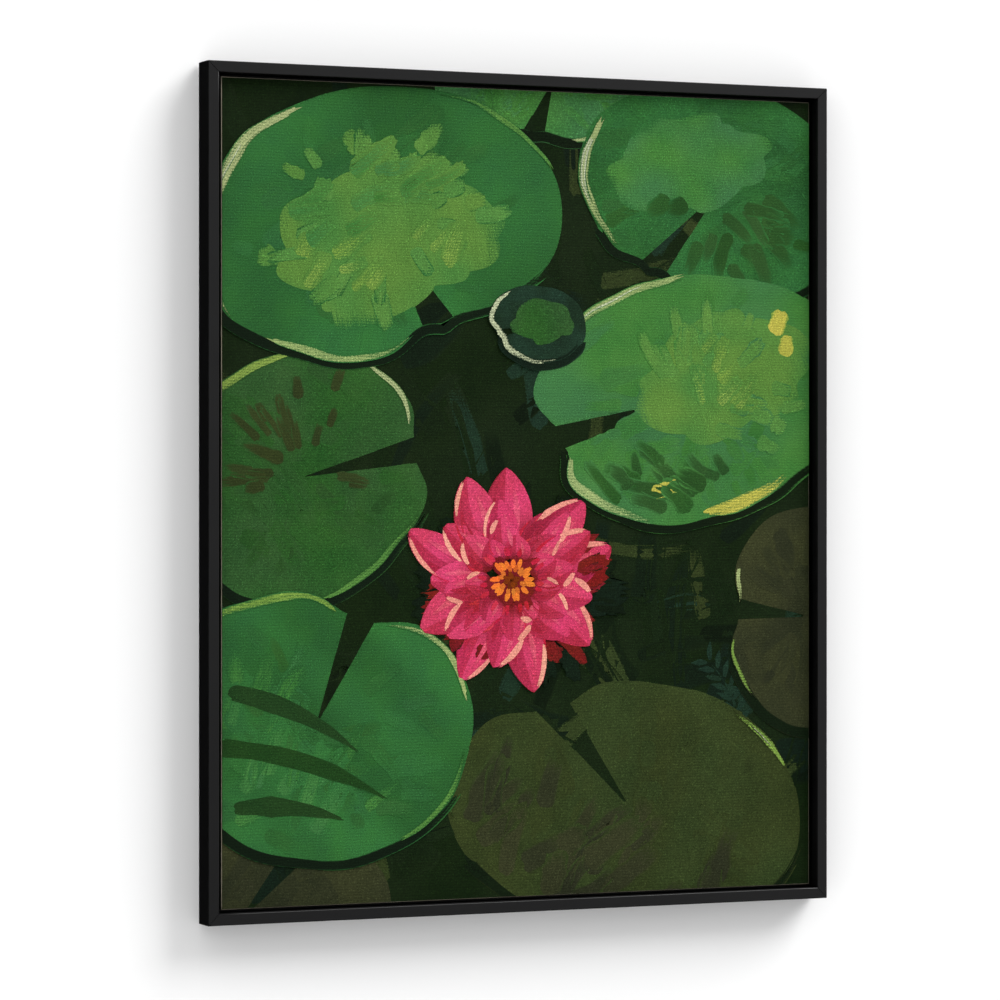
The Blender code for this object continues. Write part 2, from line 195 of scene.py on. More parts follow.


# %% [markdown]
# ## Black lacquer on wood
# A floater moulding is milled from a fine-grained wood, sanded and sprayed with satin black lacquer. The
# spray leaves a faint orange peel about a millimetre and a half across, and the grain stays just visible as
# long shallow lines. Both tilt the surface, the grain also shifts the black's tone a little, and the gloss
# drifts in broad patches.

# %% Satin black lacquer
def satin_black_lacquer():
    material, shader, node = new_material("satin black lacquer on wood", IOR=1.5)
    along = node("UVMap", uv_map="grain")
    # Grain lines lie 0.9 mm apart and run for about 40 mm
    stretched = node("Mapping", {"Vector": along, "Scale": (25, 1100, 1)})
    grain = node("TexNoise", {"Vector": stretched, "Scale": 1, "Detail": 3})
    place = node("TexCoord")
    peel = node("TexNoise", {"Vector": place.outputs["Object"], "Scale": 1 / (1.5 * MM), "Detail": 1})
    cloudy = node("TexNoise", {"Vector": place.outputs["Object"], "Scale": 1 / (60 * MM), "Detail": 3})
    tone = node("Mix", {0: grain, 6: linear("#09090a"), 7: linear("#101011")}, data_type="RGBA")
    link(tone, shader, "Base Color")
    gloss = node("MapRange", {"Value": cloudy, "To Min": 0.36, "To Max": 0.50})
    link(gloss, shader, "Roughness")
    both = node("Math", {0: grain, 1: peel}, operation="ADD")
    bump = node("Bump", {"Height": both, "Strength": 0.25, "Distance": 0.06 * MM})
    link(bump, shader, "Normal")
    return material


black_lacquer = satin_black_lacquer()
print("material:", black_lacquer.name)

# %% [markdown]
# ## The frame moulding
# The moulding is an L: a narrow lip outside, and a thin foot that turns in behind the canvas. Its edges are
# eased by sanding, and that small round is what catches the light. The shape is a profile carried along a
# straight path whose two ends are cut at 45 degrees, so a point's distance from the outer edge also says
# how far it stops short of the corner.

# %% Profile and mitre
def rounded_outline(corners, radii, steps=4):
    """A closed outline whose corners are quarter rounds: each corner's arc is its two tangent points blended
    by cosine and sine, with one extra point on the straight at either side to keep the flats flat."""
    corners = np.array(corners, float)
    angle = np.linspace(0, math.pi / 2, steps + 1)[:, None]
    found = []
    for i, (corner, radius) in enumerate(zip(corners, radii)):
        before = corners[i - 1] - corner
        after = corners[(i + 1) % len(corners)] - corner
        before /= np.linalg.norm(before)
        after /= np.linalg.norm(after)
        arc = corner + radius * (before * (1 - np.sin(angle)) + after * (1 - np.cos(angle)))
        found += [corner + before * radius * 1.5, *arc, corner + after * radius * 1.5]
    return np.array(found)


def side_turn(side):
    return {"top": 0, "right": 1, "bottom": 2, "left": 3}[side] * math.pi / 2


def mitred_length(name, outline, half_length, extent, front, side, rings=9):
    """A moulding with mitred ends. The point at (s, t) is the outline's point s, with its inset and depth,
    moved along by t times (half length - inset). It is drawn for the top edge, then turned about Y. The
    last ring at each end is drawn in along the outline's inward normals, which leaves a fine groove."""
    tangent = np.roll(outline, -1, axis=0) - np.roll(outline, 1, axis=0)
    inward = np.stack([-tangent[:, 1], tangent[:, 0]], -1) / np.linalg.norm(tangent, axis=1)[:, None]
    t = np.concatenate([[-1], np.sin(np.linspace(-math.pi / 2, math.pi / 2, rings)), [1]])[:, None]
    at_end = np.arange(rings + 2) % (rings + 1) == 0
    shape = np.where(at_end[:, None, None], outline + GROOVE * inward, outline)
    inset, depth = shape[..., 0], shape[..., 1]
    along = t * (half_length - GROOVE * ~at_end[:, None] - inset)
    angle = side_turn(side)
    x = along * math.cos(angle) + (extent - inset) * math.sin(angle)
    z = (extent - inset) * math.cos(angle) - along * math.sin(angle)
    points = np.stack([x, front + depth, z], axis=-1)
    closed = np.concatenate([points, points[:, :1]], axis=1)
    columns = closed.shape[1]
    mesh = mesh_of(name, closed.reshape(-1, 3), grid_quads(rings + 2, columns))
    # The seam's doubled points become one, each end gets its mitre face, and the faces turn outwards
    with edited(mesh) as work:
        bmesh.ops.remove_doubles(work, verts=work.verts, dist=1e-7)
        bmesh.ops.holes_fill(work, edges=work.edges)
        bmesh.ops.recalc_face_normals(work, faces=work.faces)
    mesh.shade_smooth()
    mesh.set_sharp_from_angle(angle=math.radians(50))
    # The grain map: u runs along the length and v round the outline, both in metres
    places = points_of(mesh)
    flat = places[:, 0] * math.cos(angle) - places[:, 2] * math.sin(angle)
    across = places[:, 1] + places[:, 0] * math.sin(angle) + places[:, 2] * math.cos(angle)
    map_of(mesh, "grain", np.stack([flat + 3 * angle, across], -1))
    return mesh


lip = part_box(RAILS["top"])[1].z - canvas_high.z - END_GAP
rail_depth = frame_high.y - frame_low.y
foot_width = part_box(RAILS["top"])[1].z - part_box(RAILS["top"])[0].z
ledge = frame_high.y - canvas_high.y - FIT
moulding = rounded_outline(
    [(0, 0), (lip, 0), (lip, rail_depth - ledge), (foot_width, rail_depth - ledge),
     (foot_width, rail_depth), (0, rail_depth)],
    np.array([0.55, 0.55, 0.3, 0.4, 0.5, 0.5]) * MM,
)
for side, node in RAILS.items():
    upright = side in ("left", "right")
    length = frame_high.z if upright else frame_high.x
    extent = frame_high.x if upright else frame_high.z
    mesh = mitred_length(node, moulding, length - HAIRLINE, extent, frame_low.y, side)
    piece(f"{node}_lacquered", mesh, black_lacquer, "frame", node)
print("lip", round(lip / MM, 2), "mm, ledge", round(ledge / MM, 2), "mm")

# %% [markdown]
# ## Cotton canvas
# The cloth is primed cotton duck. Its front is hidden under paint, its sides are printed dark, and what turns
# in at the back is bare and cream. The two sets of threads cross about every millimetre; here a pair is drawn
# 1.6 mm wide, because single threads would be too fine to show.

# %% Cotton canvas
THREAD = 1.6 * MM
RIB = 2.7 * MM  # the slub ribs that show on the painted face


def wave_scale(pitch):
    """A wave texture of scale 1 repeats every pi / 10 metres."""
    return math.pi / 10 / pitch


def cotton_canvas():
    material, shader, node = new_material("primed cotton canvas", Roughness=0.85)
    place = node("TexCoord").outputs["Object"]
    threads = {
        axis: node("TexWave",
            {"Vector": place, "Scale": wave_scale(THREAD), "Distortion": 1.2, "Detail Scale": 0.6},
            bands_direction=axis,
        ).outputs["Fac"]
        for axis in "XYZ"
    }
    flat = node("Math", {0: threads["X"], 1: threads["Z"]}, operation="ADD")
    weave = node("Math", {0: flat, 1: threads["Y"]}, operation="ADD")
    slub = node("TexNoise", {"Vector": place, "Scale": 1 / (6 * MM), "Detail": 4})
    mixed = node("MapRange", {"Value": slub, "From Min": 0.3, "From Max": 0.7})
    raw = node("Mix", {0: mixed, 6: linear("#cdc0a6"), 7: linear("#e2d8c2")}, data_type="RGBA")
    # This share of print also keeps the left fold paler, which is a painted highlight on that edge
    printed = node("Attribute", attribute_name="printed")
    tone = node("Mix", {0: printed.outputs["Fac"], 6: raw, 7: linear("#1a2418")}, data_type="RGBA")
    link(tone, shader, "Base Color")
    bump = node("Bump", {"Height": weave, "Strength": 0.5, "Distance": 0.12 * MM})
    link(bump, shader, "Normal")
    return material


cotton = cotton_canvas()
print("material:", cotton.name)

# %% [markdown]
# ## The stretched cloth
# The cloth is one sheet, pulled over the bars and stapled behind. A flat face in front is joined to four
# strips, each the same bent profile with mitred ends: round the front edge, down the side, round the back
# edge and in. The spare cloth that a real corner folds away is left out, and the strips simply meet there.

# %% Stretched cloth
CLOTH = 0.5 * MM
FOLD = 1.0 * MM  # radius of the cloth where it turns over the bars
RETURN = 28 * MM
side_depth = canvas_high.y - canvas_low.y


def bent_profile(radius, depth, turned_in, steps=5):
    """(inset, depth) from the front face's rim round to the raw edge at the back: a quarter round, a
    straight side, another quarter round and a straight return."""
    angle = np.linspace(0, math.pi / 2, steps)
    front = np.stack([radius * (1 - np.sin(angle)), radius * (1 - np.cos(angle))], -1)
    back = np.stack([radius * (1 - np.cos(angle)), depth - radius * (1 - np.sin(angle))], -1)
    end = np.stack([np.linspace(3 * radius, turned_in, 6), np.full(6, depth)], -1)
    return np.concatenate([front, back, end])


def cloth_strip(profile, side):
    """One mitred strip: (s, t) lies t times (half length - inset) along the side, at profile point s."""
    upright = side in ("left", "right")
    half, extent = (HALF_HEIGHT, HALF_WIDTH) if upright else (HALF_WIDTH, HALF_HEIGHT)
    t = np.linspace(-1, 1, 33)[:, None]
    along = t * (half - profile[None, :, 0])
    out = np.broadcast_to(extent - profile[:, 0], along.shape)
    y = np.broadcast_to(canvas_low.y + profile[:, 1], along.shape)
    angle = side_turn(side)
    return np.stack(
        [along * math.cos(angle) + out * math.sin(angle), y, out * math.cos(angle) - along * math.sin(angle)], -1
    )


profile = bent_profile(FOLD, side_depth, RETURN)
strips = [cloth_strip(profile, side) for side in RAILS]
u, v = np.meshgrid(np.linspace(-1, 1, 33), np.linspace(-1, 1, 33), indexing="ij")
face = np.stack([u * (HALF_WIDTH - FOLD), np.full(u.shape, canvas_low.y), v * (HALF_HEIGHT - FOLD)], -1)
points, quads, first = [], [], 0
for part in [face, *strips]:
    points.append(part.reshape(-1, 3))
    quads.append(grid_quads(*part.shape[:2], first))
    first += part.shape[0] * part.shape[1]
cloth_mesh = mesh_of("canvas_cloth", np.concatenate(points), np.concatenate(quads))
with edited(cloth_mesh) as work:
    bmesh.ops.remove_doubles(work, verts=work.verts, dist=1e-6)
    bmesh.ops.dissolve_degenerate(work, edges=work.edges, dist=1e-8)
    bmesh.ops.recalc_face_normals(work, faces=work.faces)
cloth_mesh.shade_smooth()
cloth = piece("canvas_cloth", cloth_mesh, cotton, "canvas", "canvas")
thickness = cloth.modifiers.new("cloth", "SOLIDIFY")
thickness.thickness = CLOTH
thickness.offset = -1
places = points_of(cloth_mesh)
on_side = (places[:, 1] > canvas_low.y + 0.6 * FOLD) & (places[:, 1] < canvas_high.y - 0.1 * FOLD)
in_front = places[:, 1] < canvas_low.y + 0.6 * FOLD
near_rim = (abs(places[:, 0]) > HALF_WIDTH - 2 * FOLD) | (abs(places[:, 2]) > HALF_HEIGHT - 2 * FOLD)
# Bare cotton shows along each fold where the print stops short; the left fold is kept paler still, a painted
# highlight for the light that catches that edge
fold_print_and_painted_highlight = np.where(places[:, 0] < -HALF_WIDTH + 2 * FOLD, 0.2, 0.65)
printed = cloth_mesh.attributes.new("printed", "FLOAT", "POINT")
printed.data.foreach_set("value", (on_side + fold_print_and_painted_highlight * (in_front & near_rim)).astype(np.float32))

# %% [markdown]
# ## Acrylic paint
# The picture is made with acrylics, laid on flat and fairly thick. Three things tell the eye so. The brush
# leaves fine streaks along each stroke; where it ran dry, the paint catches only the raised threads and the
# colour beneath shows between; and the canvas ribs print through everything. Each stroke carries its own
# colour, the colour under it and how loaded the brush was, as attributes, so one material serves them all.

# %% Acrylic on canvas
def acrylic_on_canvas():
    material, shader, node = new_material("acrylic paint on canvas", Roughness=0.62)
    shader.inputs["Specular IOR Level"].default_value = 0.05
    place = node("TexCoord").outputs["Object"]
    ribs = node(
        "TexWave", {"Vector": place, "Scale": wave_scale(RIB), "Distortion": 2.5, "Detail Scale": 0.5, "Detail": 3},
        bands_direction="Z"
    ).outputs["Fac"]
    warp = node(
        "TexWave", {"Vector": place, "Scale": wave_scale(THREAD), "Distortion": 2.0, "Detail Scale": 0.6},
        bands_direction="X"
    ).outputs["Fac"]
    knots = node("Math", {0: ribs, 1: warp}, operation="MULTIPLY")
    weave = node("Mix", {0: 0.6, 2: ribs, 3: knots})
    stroke = node("UVMap", uv_map="stroke")
    # Bristle marks are 1.1 mm apart and run for about 45 mm
    drawn_out = node("Mapping", {"Vector": stroke, "Scale": (22, 900, 1)})
    bristle = node("TexNoise", {"Vector": drawn_out, "Scale": 1, "Detail": 3, "Roughness": 0.6})
    speck = node("TexNoise", {"Vector": place, "Scale": 1 / (1.1 * MM), "Detail": 3, "Roughness": 0.75})
    cloud = node("TexNoise", {"Vector": place, "Scale": 1 / (45 * MM), "Detail": 5, "Roughness": 0.62})

    # A raised thread takes paint first, and a dry brush covers nothing else
    relief = node("Mix", {0: 0.18, 2: speck, 3: weave})
    catch = node("Mix", {0: 0.45, 2: relief, 3: bristle})
    load = node("Attribute", attribute_name="load").outputs["Fac"]
    spare = node("Math", {0: load, 1: catch}, operation="ADD")
    cover = node("MapRange", {"Value": spare, "From Min": 0.92, "From Max": 1.08})
    paint = node("Attribute", attribute_name="paint").outputs["Color"]
    ground = node("Attribute", attribute_name="ground").outputs["Color"]
    colour = node("Mix", {0: cover, 6: ground, 7: paint}, data_type="RGBA")

    # Where the raised knots are rubbed, tiny pale flecks of the ground come through
    rubbed = node("TexNoise", {"Vector": place, "Scale": 1 / (1.1 * MM), "Detail": 2})
    fleck = node("MapRange", {"Value": rubbed, "From Min": 0.64, "From Max": 0.74})
    parts = [(cloud, 0.46), (bristle, 0.35), (speck, 1.75), (weave, 0.20)]
    value = node(
        "Math", {0: fleck, 1: 0.8, 2: 0.84 - 0.5 * sum(amount for _, amount in parts)}, operation="MULTIPLY_ADD"
    )
    for texture, amount in parts:
        value = node("Math", {0: texture, 1: amount, 2: value}, operation="MULTIPLY_ADD")
    hue = node("MapRange", {"Value": cloud, "From Min": 0.3, "From Max": 0.7, "To Min": 0.506, "To Max": 0.492})
    varied = node("HueSaturation", {"Color": colour, "Value": value, "Hue": hue})
    link(varied, shader, "Base Color")
    height = node("Mix", {0: 0.5, 2: weave, 3: bristle})
    bump = node("Bump", {"Height": height, "Strength": 0.35, "Distance": 0.2 * MM})
    link(bump, shader, "Normal")
    return material


acrylic = acrylic_on_canvas()
print("material:", acrylic.name)

# %% [markdown]
# ## How a stroke is built
# Each dab of paint is a small raised patch: a grid of points a few hundredths of a millimetre proud of the
# one before, whose rim dips under the surface so that no edge floats. A paint layer collects its patches and
# becomes one mesh at the end. Random choices come from one seeded generator, so the picture never changes.

# %% Paint layers
COAT = 0.015 * MM  # one thin coat
DIP = -0.03 * MM  # a patch's rim goes this far under the cloth
BARE_RIM = 0.8 * MM  # the paint stops this short of the canvas's edge
random = np.random.default_rng(20)
FRONT = canvas_low.y


def soft_noise(x, z, size, seed):
    """A smooth field from about -1 to 1: a sum of twelve plane waves with seeded directions."""
    own = np.random.default_rng(seed)
    total = np.zeros(np.broadcast(x, z).shape)
    for _ in range(12):
        heading, phase = own.uniform(0, 2 * math.pi, 2)
        pitch = size * own.uniform(0.5, 1.6)
        total += np.sin((x * math.cos(heading) + z * math.sin(heading)) * 2 * math.pi / pitch + phase)
    return total / 3.2


def blend(a, b, share):
    """Two linear colours mixed; share may be an array, and gives an array of colours."""
    share = np.clip(np.asarray(share, float), 0, 1)[..., None]
    return np.asarray(a)[..., :3] * (1 - share) + np.asarray(b)[..., :3] * share


class PaintLayer:
    """Patches of paint that end up as one mesh."""

    def __init__(self, name):
        self.name = name
        self.points, self.quads, self.maps = [], [], []
        self.paint, self.ground, self.load = [], [], []
        self.count = 0

    def patch(self, x, z, height, paint, ground, load, along, across):
        """A grid patch: its place on the canvas, its height over it, and its colours, all as arrays."""
        rows, columns = x.shape
        points = np.stack([x, FRONT - height * np.ones(x.shape), z], -1)
        quads = grid_quads(rows, columns)
        flat = points.reshape(-1, 3)
        diagonals = flat[quads[:, 2]] - flat[quads[:, 0]], flat[quads[:, 3]] - flat[quads[:, 1]]
        facing = np.cross(*diagonals)[:, 1].sum()
        if facing > 0:
            quads = quads[:, ::-1]
        self.points.append(flat)
        self.quads.append(quads + self.count)
        self.count += rows * columns
        wide = np.ones((rows, columns, 3))
        for store, value in ((self.paint, paint), (self.ground, ground)):
            store.append((wide * value).reshape(-1, 3))
        self.load.append((np.ones((rows, columns)) * load).ravel())
        self.maps.append(np.stack([along * np.ones(x.shape), across * np.ones(x.shape)], -1).reshape(-1, 2))

    def finish(self):
        """Makes the mesh, and trims it to the front of the canvas."""
        mesh = mesh_of(self.name, np.concatenate(self.points), np.concatenate(self.quads))
        for name, store in (("paint", self.paint), ("ground", self.ground)):
            colours = np.concatenate(store)
            colours = np.concatenate([colours, np.ones((len(colours), 1))], -1).astype(np.float32)
            layer = mesh.color_attributes.new(name, "FLOAT_COLOR", "POINT")
            layer.data.foreach_set("color", colours.ravel())
        layer = mesh.attributes.new("load", "FLOAT", "POINT")
        layer.data.foreach_set("value", np.concatenate(self.load).astype(np.float32))
        map_of(mesh, "stroke", np.concatenate(self.maps))
        edge_x, edge_z = HALF_WIDTH - BARE_RIM, HALF_HEIGHT - BARE_RIM
        sides = (((1, 0, 0), edge_x), ((-1, 0, 0), edge_x), ((0, 0, 1), edge_z), ((0, 0, -1), edge_z))
        with edited(mesh) as work:
            for normal, reach in sides:
                geometry = work.verts[:] + work.edges[:] + work.faces[:]
                point = Vector(normal) * reach
                bmesh.ops.bisect_plane(work, geom=geometry, plane_co=point, plane_no=normal, clear_outer=True)
            bmesh.ops.remove_doubles(work, verts=work.verts, dist=1e-7)
        # The coats are so thin that the picture is shaded as the flat face it is
        mesh.normals_split_custom_set_from_vertices([(0, -1, 0)] * len(mesh.vertices))
        return piece(self.name, mesh, acrylic, "canvas")


LANES = np.array([-1.0, -0.97, -0.72, -0.38, 0.0, 0.38, 0.72, 0.97, 1.0])


def brush_stroke(layer, path, width, paint, ground, height, load, ragged=0.10, dry_end=0.3, thick=0.05 * MM,
                 taper=(1, 1)):
    """A band carried along a path. The point at (t, v) is the path at t plus v half widths along its normal;
    each lane of bristles starts and stops at its own t, round at the ends and ragged, and the rim dips."""
    step = np.linalg.norm(np.diff(path, axis=0), axis=1)
    run = np.concatenate([[0], np.cumsum(step)])
    length = run[-1]
    count = int(np.clip(length / (3.5 * MM), 8, 70))
    roundness = 0.45 * width / length * (1 - np.sqrt(1 - 0.98 * LANES**2))
    start = roundness + ragged * 0.4 * random.uniform(0, 1, len(LANES))
    stop = 1 - roundness - ragged * random.uniform(0, 1, len(LANES))
    t = np.linspace(0, 1, count)[:, None]
    at = (start + (stop - start) * t) * length
    tangent = np.gradient(path, axis=0)
    tangent /= np.linalg.norm(tangent, axis=1, keepdims=True) + 1e-12
    px, pz = (np.interp(at, run, path[:, k]) for k in (0, 1))
    tx, tz = (np.interp(at, run, tangent[:, k]) for k in (0, 1))
    waver = 1 + 0.10 * np.interp(t, np.linspace(0, 1, 7), random.normal(size=7))
    waver = waver * np.interp(t, np.linspace(0, 1, len(taper)), taper)
    half = width / 2 * waver * LANES
    x, z = px - tz * half, pz + tx * half
    ridge = 0.75 + 0.25 * np.abs(LANES) + 0.15 * random.normal(size=len(LANES))
    lift = height + thick * ridge * np.ones_like(t)
    lift[:, [0, -1]] = lift[[0, -1], :] = DIP
    worn = load * (1 - dry_end * t**3) - 0.30 * np.abs(LANES) ** 5
    layer.patch(x, z, lift, paint, ground, worn, at + random.uniform(0, 9), half + random.uniform(0, 9))

# %% [markdown]
# ## Dark water
# The picture is a lily pond of this lesson's own design: a few round leaves with a notch, crowding over dark
# water, and one pink flower. The water comes first, as one flat coat, then broad loose strokes that drift
# across it in near-black greens.

# %% Dark water
COLOURS = {
    "water": ("#13240b", "#182711", "#101f0a", "#172a12"),
    "deep": ("#0d1a08", "#11200d", "#122318"),
    "teal": ("#1b3020", "#20392a", "#1c3326"),
    "emerald": ("#2b5f2d", "#336f37", "#2d5a24", "#326939"),
    "leaf": ("#427d37", "#407744", "#39722f"),
    "shade": ("#2b5a24", "#31572b", "#274c20"),
    "olive": ("#333e1c", "#344320", "#2e3a1b"),
    "bronze": ("#2e331f", "#393d23", "#2a2e1e"),
    "light": ("#4c823b", "#5c883a", "#548a42"),
    "lime": ("#6f9440", "#87a04a", "#7c9c3e"),
    "yellow": ("#b5b249", "#a8ac47", "#c0b850"),
    "cream": ("#a3af73", "#8ca65f", "#a9b583"),
    "pale": ("#c3c9a5", "#b4bd96", "#ccd2b4"),
}
PAINTS = {name: np.array([linear(c)[:3] for c in shades]) for name, shades in COLOURS.items()}


def mixed(name):
    """One brushful: the named paint's shades in a random mixture."""
    shares = random.dirichlet(np.ones(len(PAINTS[name])))
    return shares @ PAINTS[name]


def washed(name, x, z, size, seed):
    """The named paint over an area, drifting between its first two shades."""
    return blend(PAINTS[name][0], PAINTS[name][1], 0.5 + 0.6 * soft_noise(x, z, size, seed))


PATH_POINTS = 40


def arc_path(x, z, heading, length, bend):
    """A stroke's path from (x, z): its heading, in radians, turns evenly by bend over its length."""
    t = np.linspace(0, 1, PATH_POINTS)
    way = heading + bend * (t - 0.5)
    step = length / (PATH_POINTS - 1)
    return np.stack([x + np.cumsum(np.cos(way)) * step, z + np.cumsum(np.sin(way)) * step], -1)


water = PaintLayer("paint_water")
x, z = np.meshgrid(
    np.linspace(-HALF_WIDTH, HALF_WIDTH, 90) * 1.01, np.linspace(-HALF_HEIGHT, HALF_HEIGHT, 110) * 1.01, indexing="ij"
)
water.patch(x, z, COAT, washed("water", x, z, 160 * MM, 1), PAINTS["deep"][0], 0.98, x, z)
for _ in range(260):
    sx, sz = random.uniform(-310, 310) * MM, random.uniform(-385, 385) * MM
    heading = 0.5 * soft_noise(np.array(sx), np.array(sz), 300 * MM, 2) + random.choice([0.4, 1.9])
    path = arc_path(sx, sz, heading, random.uniform(50, 150) * MM, random.normal() * 0.5)
    shade = mixed(random.choice(["water", "deep", "teal", "olive"], p=[0.45, 0.33, 0.10, 0.12]))
    under = washed("water", np.array(sx), np.array(sz), 160 * MM, 1)
    brush_stroke(water, path, random.uniform(12, 26) * MM, shade, under, 2 * COAT, load=0.72, dry_end=0.5)
water.finish()

# %% [markdown]
# ## Lily pads
# A pad is an ellipse with a wavy rim and a notch that reaches its middle. It is drawn on a polar grid: the
# angle runs round from one side of the notch to the other. A flat coat comes first, then dabs that follow the
# leaf, a patch where the sky is reflected, and last the thick pale rim where the leaf's edge turns up.

# %% Lily pads
NOTCH_GAP = 6  # degrees, from the middle of a notch to either side


class Pad:
    """A leaf: its seed, how many leaves lie under it, its place and half axes in mm, and its turn and its
    notch's direction in degrees."""

    def __init__(self, seed, level, centre, radii, turn, notch, paint):
        self.centre = np.array(centre) * MM
        self.radii = np.array(radii) * MM
        self.turn, self.notch, self.gap = np.radians([turn, notch, NOTCH_GAP])
        self.paint = paint
        self.height = (12 + 20 * level) * COAT
        self.seed = seed
        self.phases = np.random.default_rng(self.seed).uniform(0, 2 * math.pi, 4)

    def at(self, s, share):
        """The point s of the way round from the notch (0 to 1), and share of the way out to the rim."""
        angle = self.gap + s * (2 * math.pi - 2 * self.gap)
        rim = 1.0
        for size, waves, phase in zip((0.025, 0.018, 0.010, 0.006), (2, 3, 5, 9), self.phases):
            rim = rim + size * np.sin(waves * angle + phase)
        rim = rim - 0.12 * np.exp(-((np.minimum(s, 1 - s) / 0.03) ** 2))
        heading = angle + self.notch - self.turn
        u = self.radii[0] * rim * share * np.cos(heading)
        v = self.radii[1] * rim * share * np.sin(heading)
        cos, sin = math.cos(self.turn), math.sin(self.turn)
        return self.centre[0] + u * cos - v * sin, self.centre[1] + u * sin + v * cos

    def tone(self, x, z):
        return washed(self.paint, x, z, 0.9 * self.radii[0], self.seed)

    def coat(self, layer):
        s, share = np.meshgrid(np.linspace(0, 1, 150), np.append(np.linspace(0, 0.985, 26), 1.0))
        x, z = self.at(s, share)
        height = np.full(x.shape, self.height)
        height[-1] = height[:, 0] = height[:, -1] = DIP
        height[0] = self.height
        tone = self.tone(x, z) * (0.90 + 0.14 * share[..., None])
        worn = 0.98 - 0.4 * (share > 0.99)
        layer.patch(x, z, height, tone, PAINTS["deep"][0], worn, share * self.radii[0], s * 0.9)

    def share_at(self, x, z):
        """How far out towards the rim a point is: above 1 it lies outside the leaf, or in the notch."""
        cos, sin = math.cos(self.turn), math.sin(self.turn)
        dx, dz = x - self.centre[0], z - self.centre[1]
        u, v = (dx * cos + dz * sin) / self.radii[0], (dz * cos - dx * sin) / self.radii[1]
        angle = (np.arctan2(v, u) + self.turn - self.notch) % (2 * math.pi)
        in_notch = np.minimum(angle, 2 * math.pi - angle) < 1.6 * self.gap
        return np.hypot(u, v) + 2.0 * in_notch

    def rim_path(self, start, stop, share):
        """Along the rim between two compass directions, in degrees from +X towards +Z."""
        way = np.radians(np.linspace(start, stop, 70)) - self.notch
        s = (way % (2 * math.pi) - self.gap) / (2 * math.pi - 2 * self.gap)
        return np.stack(self.at(s, share + 0.012 * soft_noise(s, 0 * s, 0.1, self.seed + 7)), -1)


def rim_stroke(layer, pad, start, stop, width, name, share, load, lift=14, **brush):
    path = pad.rim_path(start, stop, share)
    under = pad.tone(*path[35])
    brush_stroke(layer, path, width * MM, mixed(name), under, pad.height + lift * COAT, load=load, **brush)


RADIAL = None  # the heading of dabs that point away from the middle of their leaf
LIGHT_LIFT = 10  # a patch of light lies this many coats over its leaf


def dabs(pad, name, how_many, reach, heading, length, width, load=0.7, spread=0.3, lift=3, under=None):
    """Strokes of one paint over part of a pad, kept off its rim and notch. Reach is two compass directions
    and two shares of the way out."""
    for _ in range(how_many):
        compass, share = random.uniform(reach[0], reach[1]), random.uniform(reach[2], reach[3])
        x, z = pad.at(((math.radians(compass) - pad.notch) % (2 * math.pi)) / (2 * math.pi), share)
        outwards = math.atan2(z - pad.centre[1], x - pad.centre[0])
        way = (outwards if heading is RADIAL else heading) + spread * random.normal()
        size = length * MM * random.uniform(0.6, 1.3)
        tone, broad = mixed(name), width * MM * random.uniform(0.7, 1.3)
        path = arc_path(x - size / 2 * math.cos(way), z - size / 2 * math.sin(way), way, size, 0.4 * random.normal())
        if pad.share_at(path[:, 0], path[:, 1]).max() > 0.94:
            continue
        height = pad.height + (lift + random.uniform(0, 2)) * COAT
        below = washed(under, x, z, 90 * MM, pad.seed) if under else pad.tone(x, z)
        brush_stroke(leaves, path, broad, tone, below, height, load=load, dry_end=0.45)


def patch_of_light(pad, name, centre, radii, turn, lobes):
    """A patch with a scalloped edge, on a polar grid: the radius swells in each of its lobes."""
    middle = pad.centre + np.array(centre) * MM
    s, share = np.meshgrid(np.linspace(0, 2 * math.pi, 121), np.append(np.linspace(0, 0.97, 18), 1.0))
    own = soft_noise(np.cos(s), np.sin(s), 1.3, pad.seed + 3)
    scallop = np.abs(np.sin(lobes * s / 2 + own)) - 0.6
    reach = share * (1 + 0.09 * own + 0.10 * scallop)
    u, v = radii[0] * MM * reach * np.cos(s), radii[1] * MM * reach * np.sin(s)
    cos, sin = math.cos(math.radians(turn)), math.sin(math.radians(turn))
    x, z = middle[0] + u * cos - v * sin, middle[1] + u * sin + v * cos
    height = np.full(x.shape, pad.height + LIGHT_LIFT * COAT)
    height[-1] = DIP
    worn = 0.9 - 0.45 * share**3 * (0.6 + 0.4 * own)
    leaves.patch(x, z, height, washed(name, x, z, 90 * MM, pad.seed), pad.tone(x, z), worn, v, u)


leaves, rims = PaintLayer("paint_leaves"), PaintLayer("paint_rims")
PADS = [
    Pad(40, 0, (-290, -395), (150, 95), 10, 60, "bronze"),
    Pad(41, 0, (110, -300), (185, 125), -8, 118, "olive"),
    Pad(42, 1, (305, -120), (92, 108), 0, 175, "bronze"),
    Pad(43, 0, (30, 392), (120, 62), 4, 260, "leaf"),
    Pad(44, 1, (-225, 15), (128, 118), 20, 12, "shade"),
    Pad(45, 2, (-212, -215), (158, 128), -12, 68, "emerald"),
    Pad(46, 1, (205, 290), (152, 106), -6, 236, "emerald"),
    Pad(47, 2, (-148, 252), (182, 128), 8, 296, "emerald"),
    Pad(48, 2, (178, 92), (168, 122), 14, 196, "leaf"),
    Pad(49, 3, (14, 160), (50, 38), -10, 200, "teal"),
]
for pad in PADS:
    rim_stroke(leaves, pad, 200, 345, 10, "deep", 1.01, 0.8, -2)
    pad.coat(leaves)
    dabs(pad, pad.paint, 40, (0, 360, 0.05, 0.9), 0.5 + 0.4 * pad.seed, 60, 18)
    dabs(pad, pad.paint, 34, (0, 360, 0.40, 0.9), RADIAL, 42, 12)
corner, olive, bronze, top, old_left, low_left, top_right, big_left, big_right, young = PADS
patch_of_light(big_left, "light", (4, -18), (116, 70), 12, 9)
